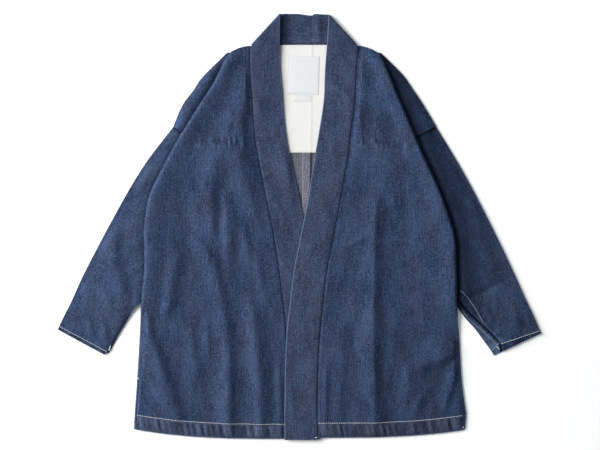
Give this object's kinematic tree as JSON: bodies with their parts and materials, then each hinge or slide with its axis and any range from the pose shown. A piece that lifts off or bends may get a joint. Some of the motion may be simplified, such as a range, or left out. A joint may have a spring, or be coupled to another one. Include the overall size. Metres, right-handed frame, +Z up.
{
  "type": "noragi jacket",
  "caption": "Open-front denim work jacket with a long collar band and wide sleeves, lying flat with its left front over its right.",
  "frame": {"origin": "on the surface that the jacket lies on, below the middle of its outline", "axes": "+Z up out of the laid cloth, +Y from the hem towards the neck, +X across the jacket to the wearer's left"},
  "size_m": [0.9178, 0.807, 0.0097],
  "materials": {
    "denim": "washed indigo denim twill",
    "collar_denim": "washed indigo denim twill, folded double",
    "white_cotton": "plain white cotton",
    "label_weave": "woven white label cloth"
  },
  "bodies": {
    "root": {"back_right": "denim", "back_left": "denim", "front_right": "denim", "front_left": "denim", "sleeve_right": "denim", "sleeve_left": "denim", "collar_right": "collar_denim", "collar_left": "collar_denim", "yoke_lining": "white_cotton", "label_main": "label_weave", "label_small": "label_weave"}
  },
  "joints": []
}
